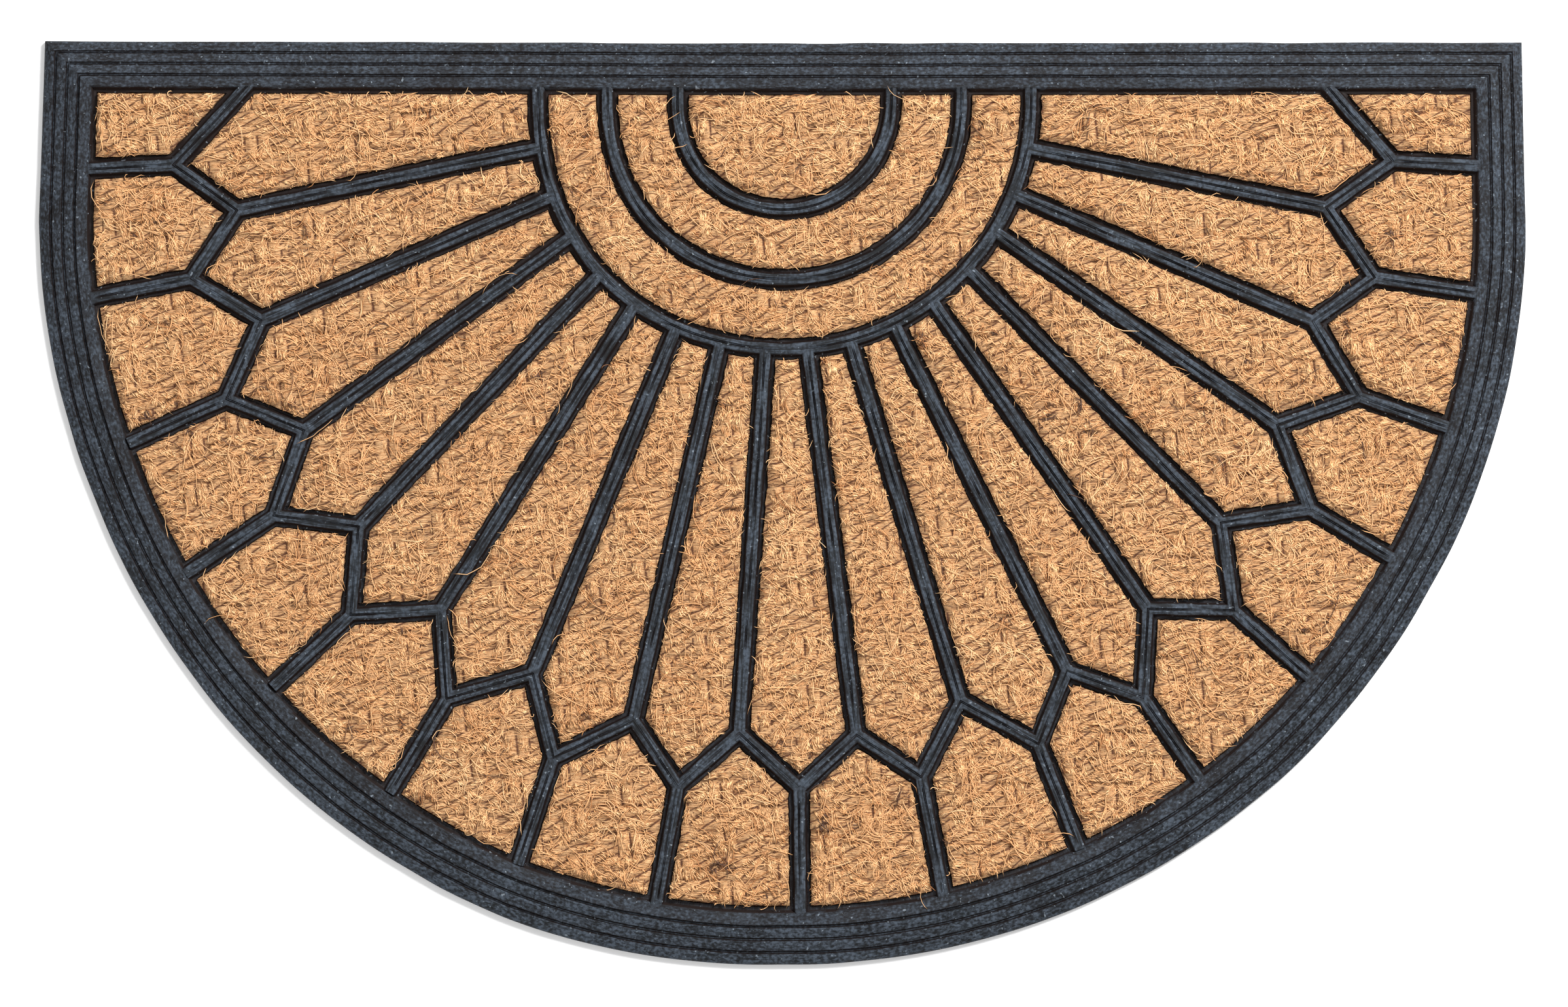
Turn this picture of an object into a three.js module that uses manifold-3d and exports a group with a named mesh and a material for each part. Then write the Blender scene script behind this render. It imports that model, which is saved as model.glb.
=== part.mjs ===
// Half round doormat: one moulded rubber mat that holds one sheet of woven coir.
// The rubber is a thin backing, a border of four bands round the edge, and a sunburst of ribs.
// The coir lies in the pocket between them: pressed thin under the ribs, and standing up between them.
// Units are millimetres. The mat lies flat on z = 0 with +Z up, +X runs along the straight edge, and
// +Y points towards it. The origin is under the middle of the mat.
import * as THREE from 'three';
import { mergeVertices } from 'three/addons/utils/BufferGeometryUtils.js';
import Module from 'manifold-3d';

// Size of the mat: the round edge turns about a point on the middle line
const matWidth = 740;
const matDepth = 460;
const arcCentreY = 140;
const arcSteps = 36;

// The round edge, as uneven as the moulding: how far it reaches from that point, and the border's
// width there, at bearings that run from the left side (0) through the front (90) to the right (180)
const roundEdge = [
  { bearing: 0, reach: 370.0, border: 24.0 },
  { bearing: 20, reach: 368.9, border: 24.3 },
  { bearing: 35, reach: 370.2, border: 25.0 },
  { bearing: 45, reach: 371.5, border: 26.0 },
  { bearing: 68, reach: 372.9, border: 26.4 },
  { bearing: 80, reach: 371.4, border: 26.2 },
  { bearing: 90, reach: 370.0, border: 25.8 },
  { bearing: 110, reach: 371.3, border: 25.6 },
  { bearing: 132, reach: 372.3, border: 25.4 },
  { bearing: 150, reach: 370.5, border: 24.4 },
  { bearing: 180, reach: 370.0, border: 23.4 },
];

// The straight edge bows in slightly between its two corners
const straightBorder = 22.8;
const leftBorder = 24.0;
const rightBorder = 23.4;
const leftCorner = { x: -367, y: matDepth / 2 };
const rightCorner = { x: 368, y: 229.3 };
const straightMiddle = { x: 0, y: 228.8 };

// The border across its nominal width: bands that step down outwards, with a groove between two
const borderWidth = 24;
const grooveDepth = 1.0;
const edgeHeight = 3.4;
const bands = [
  { start: 0.9, end: 5.2, outerHeight: 4.6, innerHeight: 5.6 },
  { start: 6.5, end: 11.2, outerHeight: 6.2, innerHeight: 7.0 },
  { start: 12.5, end: 17.2, outerHeight: 7.4, innerHeight: 8.2 },
  { start: 18.5, end: borderWidth, outerHeight: 9.0, innerHeight: 9.0 },
];

// Heights of the layers, from the floor up
const gap = 0.3;
const backingTop = 1.8;
const ledgeUnderside = 4.2;
const ledgeTop = 6.0;
const barTop = 9.0;
const coirShoulder = 8.8;
const coirTop = 10.4;

// A rib across its middle: a flat ledge each side of a bar with sloped flanks and a fine line on top
const ledgeHalf = 5.2;
const barFootHalf = 3.5;
const barTopHalf = 2.5;
const lineHalf = 0.5;
const lineDepth = 0.7;

// Where the pocket and the coir's rim end under the border, across its nominal width
const flankWidth = 1.4;
const ledgeWidth = 3.4;
const pocketEdge = 23.2;

// The coir's shoulder beside a rib or the border: how far in from its wall its top begins, and how
// far above that top the channels are cut
const shoulderWidth = 2.0;
const cutMargin = 1.0;

// The sunburst: three half rings, each a little out of round, then 16 spokes that end on a zigzag,
// with a stub from each of the zigzag's outer corners to the border. A ring's bulge is how much further
// it reaches half way down that side. Hub is a spoke's bearing on the largest ring, from the left.
const ringCentre = { x: 1, y: 199 };
const rings = [
  { radius: 53, leftBulge: 1.0, rightBulge: 0.2, steps: 16 },
  { radius: 88, leftBulge: 1.2, rightBulge: 0.5, steps: 22 },
  { radius: 122.5, leftBulge: 2.3, rightBulge: 0, steps: 28 },
];
const ringLegTop = 209;
const zigzagStart = { x: -268.8, y: 204.4 };
const zigzagEnd = { x: 272.7, y: 204.8 };
const rays = [
  { hub: 10.5, tip: [-270.9, 145.4], corner: [-302.4, 168.0], foot: [-343.9, 166.2] },
  { hub: 22.0, tip: [-258.9, 90.7], corner: [-293.9, 111.4], foot: [-340.3, 102.4] },
  { hub: 32.1, tip: [-237.8, 36.0], corner: [-276.5, 51.5], foot: [-321.8, 31.1] },
  { hub: 42.9, tip: [-210.6, -11.8], corner: [-252.6, -6.2], foot: [-293.8, -33.4] },
  { hub: 53.4, tip: [-169.9, -53.1], corner: [-214.4, -55.5], foot: [-250.8, -89.2] },
  { hub: 64.3, tip: [-124.2, -85.1], corner: [-166.6, -97.0], foot: [-193.4, -141.1] },
  { hub: 75.0, tip: [-74.1, -107.9], corner: [-113.9, -127.0], foot: [-130.3, -176.5] },
  { hub: 85.6, tip: [-21.4, -114.4], corner: [-51.9, -141.0], foot: [-62.4, -197.6] },
  { hub: 95.4, tip: [36.8, -115.3], corner: [8.4, -141.8], foot: [9.0, -202.4] },
  { hub: 105.5, tip: [88.6, -98.6], corner: [68.9, -136.0], foot: [79.9, -194.0] },
  { hub: 116.4, tip: [141.4, -83.3], corner: [127.1, -119.6], foot: [146.5, -169.0] },
  { hub: 126.7, tip: [181.6, -52.6], corner: [179.2, -96.9], foot: [206.4, -136.2] },
  { hub: 137.9, tip: [218.0, -10.0], corner: [224.3, -53.4], foot: [260.4, -85.1] },
  { hub: 148.5, tip: [246.0, 38.6], corner: [262.1, -3.1], foot: [300.7, -26.2] },
  { hub: 158.3, tip: [263.7, 90.3], corner: [286.4, 52.8], foot: [328.7, 38.3] },
  { hub: 169.4, tip: [270.4, 146.8], corner: [294.0, 112.1], foot: [342.9, 104.6] },
];
const lastCorner = { x: 303.2, y: 170.0 };
const lastFoot = { x: 346.5, y: 167.4 };

// How far a rib runs on into the border, and how far clear of another rib's line it starts
const zigzagRoot = 6.5;
const stubRoot = 3.5;
const lineClearance = 0.9;

const rubberMaterial = new THREE.MeshStandardMaterial({ color: 0x3d3c3e, roughness: 0.72, metalness: 0 });
const coirMaterial = new THREE.MeshStandardMaterial({ color: 0xd09e6e, roughness: 0.95, metalness: 0 });

const wasm = await Module();
wasm.setup();

/** A closed geometry as a solid that can be joined and cut. */
function toSolid(geometry) {
  geometry.deleteAttribute('normal');
  geometry.deleteAttribute('uv');
  const merged = mergeVertices(geometry);
  const corners = merged.index.array;
  const triVerts = [];
  for (let i = 0; i < corners.length; i += 3) {
    const [a, b, c] = [corners[i], corners[i + 1], corners[i + 2]];
    if (a !== b && b !== c && c !== a) triVerts.push(a, b, c);
  }
  return new wasm.Manifold(new wasm.Mesh({
    numProp: 3,
    vertProperties: new Float32Array(merged.attributes.position.array),
    triVerts: new Uint32Array(triVerts),
  }));
}

/** A finished solid as a named mesh. */
function toMesh(name, solid, material) {
  const { vertProperties, triVerts } = solid.getMesh();
  const geometry = new THREE.BufferGeometry();
  geometry.setAttribute('position', new THREE.BufferAttribute(vertProperties, 3));
  geometry.setIndex(new THREE.BufferAttribute(triVerts, 1));
  geometry.computeVertexNormals();
  const mesh = new THREE.Mesh(geometry, material);
  mesh.name = name;
  return mesh;
}

const point = (x, y) => new THREE.Vector2(x, y);

/** The round edge's reach and border width at any bearing, between the rows of its table. */
function edgeAt(bearing) {
  const next = Math.max(1, roundEdge.findIndex((row) => row.bearing >= bearing));
  const [a, b] = [roundEdge[next - 1], roundEdge[next]];
  const share = (bearing - a.bearing) / (b.bearing - a.bearing);
  return {
    reach: THREE.MathUtils.lerp(a.reach, b.reach, share),
    border: THREE.MathUtils.lerp(a.border, b.border, share),
  };
}

/** The left-hand normal of the way from one point to the next. */
function leftOf(from, to) {
  const way = to.clone().sub(from).normalize();
  return point(-way.y, way.x);
}

/** The step inwards to the point that lies a border's width from each of the two edges at a corner. */
function stepInwards(normalBefore, borderBefore, normalAfter, borderAfter) {
  const turn = normalBefore.cross(normalAfter);
  const x = (borderBefore * normalAfter.y - borderAfter * normalBefore.y) / turn;
  const y = (borderAfter * normalBefore.x - borderBefore * normalAfter.x) / turn;
  return point(x, y);
}

/** The outline's corners, turning left all round, each with the step inwards across the whole border. */
function makeOutline() {
  const corners = [
    { at: point(rightCorner.x, rightCorner.y), border: straightBorder },
    { at: point(straightMiddle.x, straightMiddle.y), border: straightBorder },
    { at: point(leftCorner.x, leftCorner.y), border: leftBorder },
  ];
  for (let step = 0; step <= arcSteps; step++) {
    const bearing = (180 * step) / arcSteps;
    const angle = THREE.MathUtils.degToRad(bearing);
    const { reach, border } = edgeAt(bearing);
    const at = point(-reach * Math.cos(angle), arcCentreY - reach * Math.sin(angle));
    corners.push({ at, border: step < arcSteps ? border : rightBorder });
  }
  return corners.map(({ at, border }, i) => {
    const before = corners[(i + corners.length - 1) % corners.length];
    const after = corners[(i + 1) % corners.length];
    const inward = stepInwards(leftOf(before.at, at), before.border, leftOf(at, after.at), border);
    return { at, inward };
  });
}

const outline = makeOutline();
const toMiddle = matWidth / 2;

/** A solid whose section is turned round the outline. A row is a place across the border and a height. */
function turnRoundOutline(rows) {
  const profile = rows.map(({ inset, height }) => new THREE.Vector2(toMiddle - inset, height));
  const geometry = new THREE.LatheGeometry(profile, outline.length);
  const points = geometry.attributes.position;
  for (let i = 0; i < points.count; i++) {
    const { at, inward } = outline[Math.floor(i / rows.length) % outline.length];
    const { inset, height } = rows[i % rows.length];
    const place = inset < toMiddle ? at.clone().addScaledVector(inward, inset / borderWidth) : point(0, 0);
    points.setXYZ(i, place.x, place.y, height);
  }
  return toSolid(geometry);
}

/** The step sideways at a path's station that keeps its width through a mitred corner. */
function mitreAt(path, station) {
  const before = leftOf(path[Math.max(station - 1, 0)], path[Math.max(station, 1)]);
  const last = path.length - 1;
  const after = leftOf(path[Math.min(station, last - 1)], path[Math.min(station + 1, last)]);
  return before.clone().add(after).divideScalar(1 + before.dot(after));
}

/** A solid whose section is laid along a path. A row is a place to the side and a height. */
function layAlong(section, path) {
  const shape = new THREE.Shape(section.map(({ side, height }) => point(side, height)));
  const steps = path.length - 1;
  const geometry = new THREE.ExtrudeGeometry(shape, { depth: steps, steps, bevelEnabled: false });
  const mitres = path.map((_, station) => mitreAt(path, station));
  const points = geometry.attributes.position;
  for (let i = 0; i < points.count; i++) {
    const station = Math.round(points.getZ(i));
    const place = path[station].clone().addScaledVector(mitres[station], points.getX(i));
    points.setXYZ(i, place.x, place.y, points.getY(i));
  }
  return toSolid(geometry);
}

/** A section from its right half: the rows run from the bottom up, and the left half mirrors them. */
function bothSides(rows) {
  const mirrored = rows.filter(({ side }) => side > 0).map(({ side, height }) => ({ side: -side, height }));
  return [...rows, ...mirrored.reverse()];
}

/** The point of a ring at a bearing from the left. */
function ringPoint({ radius, leftBulge, rightBulge }, bearing) {
  const angle = THREE.MathUtils.degToRad(bearing);
  const bulge = bearing < 90 ? leftBulge : rightBulge;
  const reach = radius + bulge * Math.sin(2 * angle) ** 2;
  return point(ringCentre.x - reach * Math.cos(angle), ringCentre.y - reach * Math.sin(angle));
}

/** The path of one half ring, with a short leg at each end up to the straight edge's border. */
function ringPath(ring) {
  const path = [point(ringCentre.x - ring.radius, ringLegTop)];
  for (let step = 0; step <= ring.steps; step++) path.push(ringPoint(ring, (180 * step) / ring.steps));
  path.push(point(ringCentre.x + ring.radius, ringLegTop));
  return path;
}

/** A straight path that starts and ends a given length inside its two points, or past them if negative. */
function straightPath(from, to, startIn, endIn) {
  const way = to.clone().sub(from).normalize();
  return [from.clone().addScaledVector(way, startIn), to.clone().addScaledVector(way, -endIn)];
}

/** The zigzag's path, from the straight edge on the left to the straight edge on the right. */
function zigzagPath() {
  const path = [point(zigzagStart.x, zigzagStart.y)];
  for (const { corner, tip } of rays) path.push(point(...corner), point(...tip));
  path.push(point(lastCorner.x, lastCorner.y), point(zigzagEnd.x, zigzagEnd.y));
  path[0] = straightPath(path[0], path[1], -zigzagRoot, 0)[0];
  const last = path.length - 1;
  path[last] = straightPath(path[last - 1], path[last], 0, -zigzagRoot)[1];
  return path;
}

/** All the ribs' paths: rings, zigzag, spokes and stubs. */
function ribPaths() {
  const paths = rings.map(ringPath);
  paths.push(zigzagPath());
  const hubRing = rings[rings.length - 1];
  for (const { hub, tip, corner, foot } of rays) {
    const root = ringPoint(hubRing, hub);
    paths.push(straightPath(root, point(...tip), lineClearance, lineClearance));
    paths.push(straightPath(point(...corner), point(...foot), lineClearance, -stubRoot));
  }
  const lastStub = [point(lastCorner.x, lastCorner.y), point(lastFoot.x, lastFoot.y)];
  paths.push(straightPath(...lastStub, lineClearance, -stubRoot));
  return paths;
}

const paths = ribPaths();

/** The rubber: backing and border in one turn round the outline, joined to every rib. */
function makeRubber() {
  const rows = [
    { inset: toMiddle, height: 0 },
    { inset: 0, height: 0 },
    { inset: 0, height: edgeHeight },
  ];
  bands.forEach(({ start, end, outerHeight, innerHeight }, i) => {
    rows.push({ inset: start, height: outerHeight }, { inset: end, height: innerHeight });
    if (i === bands.length - 1) return;
    const grooveFloor = innerHeight - grooveDepth;
    rows.push({ inset: end, height: grooveFloor }, { inset: bands[i + 1].start, height: grooveFloor });
  });
  rows.push(
    { inset: borderWidth + flankWidth, height: ledgeTop },
    { inset: borderWidth + ledgeWidth, height: ledgeTop },
    { inset: borderWidth + ledgeWidth, height: ledgeUnderside },
    { inset: pocketEdge, height: ledgeUnderside },
    { inset: pocketEdge, height: backingTop },
    { inset: toMiddle, height: backingTop },
  );
  const ribSection = bothSides([
    { side: ledgeHalf, height: ledgeUnderside },
    { side: ledgeHalf, height: ledgeTop },
    { side: barFootHalf, height: ledgeTop },
    { side: barTopHalf, height: barTop },
    { side: lineHalf, height: barTop },
    { side: 0, height: barTop - lineDepth },
  ]);
  let rubber = turnRoundOutline(rows);
  for (const path of paths) rubber = rubber.add(layAlong(ribSection, path));
  return toMesh('rubber_moulding', rubber, rubberMaterial);
}

/** The coir: one sheet that reaches under the border, cut down to its pressed depth along every rib. */
function makeCoir() {
  const wallInset = borderWidth + ledgeWidth + gap;
  const underside = backingTop + gap;
  const pressedTop = ledgeUnderside - gap;
  const rimInset = pocketEdge + gap;
  let coir = turnRoundOutline([
    { inset: toMiddle, height: underside },
    { inset: rimInset, height: underside },
    { inset: rimInset, height: pressedTop },
    { inset: wallInset, height: pressedTop },
    { inset: wallInset, height: coirShoulder },
    { inset: wallInset + shoulderWidth, height: coirTop },
    { inset: toMiddle, height: coirTop },
  ]);
  const wallHalf = ledgeHalf + gap;
  const cutTop = coirTop + cutMargin;
  const flare = shoulderWidth / (coirTop - coirShoulder);
  const channel = bothSides([
    { side: wallHalf, height: pressedTop },
    { side: wallHalf, height: coirShoulder },
    { side: wallHalf + flare * (cutTop - coirShoulder), height: cutTop },
  ]);
  for (const path of paths) coir = coir.subtract(layAlong(channel, path));
  return toMesh('coir_panel', coir, coirMaterial);
}

const doormat = new THREE.Group();
doormat.name = 'half_round_doormat';
doormat.add(makeRubber(), makeCoir());

export default doormat;
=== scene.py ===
# Half round doormat: a moulded rubber mat with a sunburst of ribs, and the woven coir sheet held in it.
# Shapes are worked out in millimetres, as in the solids, and each finished piece is turned to metres once.
import math

import bmesh
import bpy
import numpy as np
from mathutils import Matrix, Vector


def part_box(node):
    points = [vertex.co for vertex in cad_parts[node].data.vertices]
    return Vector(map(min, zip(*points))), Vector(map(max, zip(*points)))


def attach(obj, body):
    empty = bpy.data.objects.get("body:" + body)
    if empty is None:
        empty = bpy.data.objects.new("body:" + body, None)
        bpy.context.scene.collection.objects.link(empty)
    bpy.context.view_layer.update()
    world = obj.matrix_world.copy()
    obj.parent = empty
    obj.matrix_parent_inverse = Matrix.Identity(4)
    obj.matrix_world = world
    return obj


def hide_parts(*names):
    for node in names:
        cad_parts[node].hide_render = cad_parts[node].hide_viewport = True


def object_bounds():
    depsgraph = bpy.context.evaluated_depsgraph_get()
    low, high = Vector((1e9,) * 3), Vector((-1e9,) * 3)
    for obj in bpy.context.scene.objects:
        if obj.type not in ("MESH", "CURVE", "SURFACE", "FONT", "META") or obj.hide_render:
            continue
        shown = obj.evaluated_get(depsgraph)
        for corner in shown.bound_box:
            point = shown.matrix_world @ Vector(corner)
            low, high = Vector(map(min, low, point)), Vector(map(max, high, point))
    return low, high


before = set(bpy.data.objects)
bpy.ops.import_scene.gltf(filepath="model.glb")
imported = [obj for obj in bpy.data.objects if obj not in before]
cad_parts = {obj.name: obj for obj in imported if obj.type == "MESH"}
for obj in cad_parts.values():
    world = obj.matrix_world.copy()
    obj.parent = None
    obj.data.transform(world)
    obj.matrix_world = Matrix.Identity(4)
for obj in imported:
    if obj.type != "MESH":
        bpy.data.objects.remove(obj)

cad_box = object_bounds()

MM = 0.001

# The outline, as in the solids: the round edge turns about a point on the middle line
MAT_WIDTH = 740.0
ARC_CENTRE_Y = 140.0
LEFT_CORNER = (-367.0, 230.0)
RIGHT_CORNER = (368.0, 229.3)
STRAIGHT_MIDDLE = (0.0, 228.8)
STRAIGHT_BORDER = 22.8
LEFT_BORDER = 24.0
RIGHT_BORDER = 23.4
BORDER_WIDTH = 24.0

# The round edge by bearing, from the left side to the right: how far it reaches, and the border's width
ROUND_EDGE = (
    (0, 370.0, 24.0),
    (20, 368.9, 24.3),
    (35, 370.2, 25.0),
    (45, 371.5, 26.0),
    (68, 372.9, 26.4),
    (80, 371.4, 26.2),
    (90, 370.0, 25.8),
    (110, 371.3, 25.6),
    (132, 372.3, 25.4),
    (150, 370.5, 24.4),
    (180, 370.0, 23.4),
)

# The sunburst: three half rings, 16 spokes, the zigzag that joins their ends, and 17 stubs to the border
RING_CENTRE = (1.0, 199.0)
# Each ring's radius, and how far it bulges on the left and on the right
RINGS = ((53.0, 1.0, 0.2), (88.0, 1.2, 0.5), (122.5, 2.3, 0.0))
RING_LEG_TOP = 209.0
ZIGZAG_START = (-268.8, 204.4)
ZIGZAG_END = (272.7, 204.8)
ZIGZAG_ROOT = 6.5
STUB_ROOT = 3.5
LINE_CLEARANCE = 0.9
# A spoke's bearing at the hub and its tip, the zigzag's corner before it, and the foot of that corner's stub
RAYS = (
    (10.5, (-270.9, 145.4), (-302.4, 168.0), (-343.9, 166.2)),
    (22.0, (-258.9, 90.7), (-293.9, 111.4), (-340.3, 102.4)),
    (32.1, (-237.8, 36.0), (-276.5, 51.5), (-321.8, 31.1)),
    (42.9, (-210.6, -11.8), (-252.6, -6.2), (-293.8, -33.4)),
    (53.4, (-169.9, -53.1), (-214.4, -55.5), (-250.8, -89.2)),
    (64.3, (-124.2, -85.1), (-166.6, -97.0), (-193.4, -141.1)),
    (75.0, (-74.1, -107.9), (-113.9, -127.0), (-130.3, -176.5)),
    (85.6, (-21.4, -114.4), (-51.9, -141.0), (-62.4, -197.6)),
    (95.4, (36.8, -115.3), (8.4, -141.8), (9.0, -202.4)),
    (105.5, (88.6, -98.6), (68.9, -136.0), (79.9, -194.0)),
    (116.4, (141.4, -83.3), (127.1, -119.6), (146.5, -169.0)),
    (126.7, (181.6, -52.6), (179.2, -96.9), (206.4, -136.2)),
    (137.9, (218.0, -10.0), (224.3, -53.4), (260.4, -85.1)),
    (148.5, (246.0, 38.6), (262.1, -3.1), (300.7, -26.2)),
    (158.3, (263.7, 90.3), (286.4, 52.8), (328.7, 38.3)),
    (169.4, (270.4, 146.8), (294.0, 112.1), (342.9, 104.6)),
)
LAST_CORNER = (303.2, 170.0)
LAST_FOOT = (346.5, 167.4)

# Heights of the layers, and the clearance between rubber and coir
BACKING_TOP = 1.8
LEDGE_UNDERSIDE = 4.2
LEDGE_TOP = 6.0
BAR_TOP = 9.0
GAP = 0.3
LEDGE_HALF = 5.2
LEDGE_INSET = 27.4
POCKET_EDGE = 23.2

# Half a rib's section, from under its ledge up to the bead in the fine line along its top
LEDGE_START = 3.9
SHOULDER = 2.9
SHOULDER_SPAN = 1.3
LINE_HALF = 0.55
RIB_SECTION = (
    (5.2, 4.2),
    (5.2, 5.6),
    (4.9, 5.95),
    (LEDGE_START, 6.0),
    (3.4, 6.5),
    (SHOULDER, 8.3),
    (2.6, 8.8),
    (2.1, 9.0),
    (0.65, 9.05),
    (0.48, 8.3),
    (0.26, 8.3),
    (0.0, 8.9),
)

# Where a rib's line starts beside a free end, over what length, and how far the rib sinks at the border
LINE_END = 2.2
LINE_FADE = 3.0
SINK = 0.25

# The bloom's streaks are this many times shorter on the border than on the ribs, and start elsewhere
BORDER_MOTTLE = 7
BORDER_START = 100

# Shares of bloom: in a rib's line, low as painted shade in its groove, on ledges, on the inner band, and on
# the bead, high as a painted highlight, and the sides of a groove, low as painted shade
LINE_PAINTED_SHADE = 0.2
LEDGE_BLOOM = 0.3
BAND_BLOOM = 0.7
BEAD_PAINTED_HIGHLIGHT = 0.8
GROOVE_PAINTED_SHADE = 0.1

# The border's section on its nominal width. Bands step down outwards: start, end, outer and inner height
BANDS = ((0.9, 5.2, 4.6, 5.6), (6.5, 11.2, 6.2, 7.0), (12.5, 17.2, 7.4, 8.2), (18.5, 24.0, 9.0, 9.0))
EDGE_HEIGHT = 3.4
GROOVE_DEPTH = 0.8
BEAD_DEPTH = 0.45
BAND_ROUNDING = 0.35
FLANK_FOOT = 25.3

# Spacing of the stations along the ribs and round the border, and the free length beside a corner. Bars are
# halved until a hundred cuts are enough, so the segments of long ones count in eights
RIB_STEP = 2.1
BORDER_STEP = 3.6
COARSE_STEP = 8.0
MOST_CUTS = 100
SEGMENTS_IN = 8
BORDER_MARGIN = 29.0
TINY = 1e-6

# The weave: pairs of warp yarns go over two weft yarns and under the next two
WEAVE_START = (2.8, -2.9)
WARP_SPACING = 24.5
WARP_LEAN = 0.107
WARP_HALF_WIDTH = 6.6
WARP_HALF_LENGTH = 7.2
WEFT_PITCH = 6.15
WEAVE_REPEAT = 4 * WEFT_PITCH
PLY_LENGTH = 9.5
PLY_LEAN = 1.4
PLY_WIDTH = 4.0
PLY_FIBRE_BEARING = math.radians(-34)
LOOSE_FIBRE_BEARING = math.radians(20)
WARP_BEARING = math.radians(96)
COIR_LOW = 8.1
COIR_GRID = 1.6
LUMP_CELLS = 64

# Heights of the weave's parts, how far each reaches in its own widths, and how bundles differ from each other
WEFT_RISE = 0.8
WEFT_BACK = 0.85
WEFT_LOBE = 1.35
WARP_FOOT = -0.6
WARP_ARCH = 3.3
BACK_REACH = 0.64
LOBE_REACH = 0.53
STRAND_REACH = 0.54
BUNDLE_SHIFT = 0.9
BUNDLE_STRETCH = 0.12

# Beside a window's wall the coir rolls down
ROLL_WIDTH = 3.2
ROLL_DROP = 1.2


def read_table(table, across, along, smooth=False):
    """Reads a table at places between its cells, starting again past its end."""
    column = np.floor(across).astype(int)
    row = np.floor(along).astype(int)
    right = across - column
    up = along - row
    if smooth:
        right = right * right * (3 - 2 * right)
        up = up * up * (3 - 2 * up)
    rows, columns = table.shape

    def corner(dx, dy):
        return table[(row + dy) % rows, (column + dx) % columns]

    low = corner(0, 0) * (1 - right) + corner(1, 0) * right
    high = corner(0, 1) * (1 - right) + corner(1, 1) * right
    return low * (1 - up) + high * up


def lumps(x, y, size, seed):
    """Smooth random lumps of a given size at places on the mat, from -1 to 1."""
    table = np.random.default_rng(seed).uniform(-1, 1, (LUMP_CELLS, LUMP_CELLS))
    return read_table(table, np.asarray(x, float) / size, np.asarray(y, float) / size, True)


# Paths and distances


def left_of(ways):
    """Unit normals to the left of some ways."""
    units = ways / np.linalg.norm(ways, axis=-1, keepdims=True)
    return np.stack([-units[..., 1], units[..., 0]], axis=-1)


def ring_point(ring, bearing):
    """The point of a ring at a bearing from the left, in degrees."""
    radius, left_bulge, right_bulge = ring
    angle = math.radians(bearing)
    bulge = left_bulge if bearing < 90 else right_bulge
    reach = radius + bulge * math.sin(2 * angle) ** 2
    return (RING_CENTRE[0] - reach * math.cos(angle), RING_CENTRE[1] - reach * math.sin(angle))


def ring_path(ring, step):
    """A half ring with a short leg at each end."""
    radius = ring[0]
    count = SEGMENTS_IN * round(math.pi * radius / step / SEGMENTS_IN)
    legs_y = np.linspace(RING_LEG_TOP, RING_CENTRE[1], 5)[:-1]
    left = [(RING_CENTRE[0] - radius, y) for y in legs_y]
    middle = [ring_point(ring, 180 * i / count) for i in range(count + 1)]
    right = [(RING_CENTRE[0] + radius, y) for y in legs_y[::-1]]
    return np.array(left + middle + right)


def trimmed(start, end, start_in, end_in):
    """A straight way made shorter by a length at each end, or longer if it is negative."""
    start, end = np.array([start, end])
    way = (end - start) / np.linalg.norm(end - start)
    return np.array([start + way * start_in, end - way * end_in])


def zigzag_corners():
    """The zigzag's corners, from left to right."""
    corners = [ZIGZAG_START]
    for _, tip, corner, _ in RAYS:
        corners += [corner, tip]
    corners += [LAST_CORNER, ZIGZAG_END]
    corners[0] = trimmed(corners[0], corners[1], -ZIGZAG_ROOT, 0)[0]
    corners[-1] = trimmed(corners[-2], corners[-1], 0, -ZIGZAG_ROOT)[1]
    return np.array(corners)


def spoke_ends():
    """The two ends of each spoke."""
    gap = LINE_CLEARANCE
    return [trimmed(ring_point(RINGS[-1], hub), tip, gap, gap) for hub, tip, _, _ in RAYS]


def stub_ends():
    """The two ends of each stub."""
    pairs = [ray[2:] for ray in RAYS] + [(LAST_CORNER, LAST_FOOT)]
    return [trimmed(corner, foot, LINE_CLEARANCE, -STUB_ROOT) for corner, foot in pairs]


def fill_gaps(path, longest=math.inf):
    """Halves the widest gaps, up to a length, until the segments count in eights. Widths are copied."""
    while (len(path) - 1) % SEGMENTS_IN:
        gaps = np.linalg.norm(np.diff(path[:, :2], axis=0), axis=1)
        gaps[gaps > longest] = 0
        widest = gaps.argmax()
        between = (path[widest] + path[widest + 1]) / 2
        between[2:] = path[widest, 2:]
        path = np.insert(path, widest + 1, between, axis=0)
    return path


def space_out(corners, margin):
    """Stations along straight legs, with a margin free beside each corner so that no mitre folds over."""
    path = [corners[0]]
    last_leg = len(corners) - 2
    for leg, (start, end) in enumerate(zip(corners[:-1], corners[1:])):
        length = np.linalg.norm(end - start)
        first = margin if leg > 0 else 0
        last = length - (margin if leg < last_leg else 0)
        shares = np.linspace(first, last, max(2, round((last - first) / RIB_STEP) + 1)) / length
        path += [start + (end - start) * share for share in shares if TINY < share < 1 - TINY]
        path.append(end)
    return fill_gaps(np.array(path))


def mitres(path):
    """The step sideways at each station that keeps a bar's width through a corner."""
    normals = left_of(np.diff(path, axis=0))
    before = np.vstack([normals[:1], normals])
    after = np.vstack([normals, normals[-1:]])
    return (before + after) / (1 + (before * after).sum(axis=1))[:, None]


# Every rib's centre line with few points, for distances
RIB_LINES = [ring_path(ring, COARSE_STEP) for ring in RINGS] + [zigzag_corners()] + spoke_ends() + stub_ends()


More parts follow.
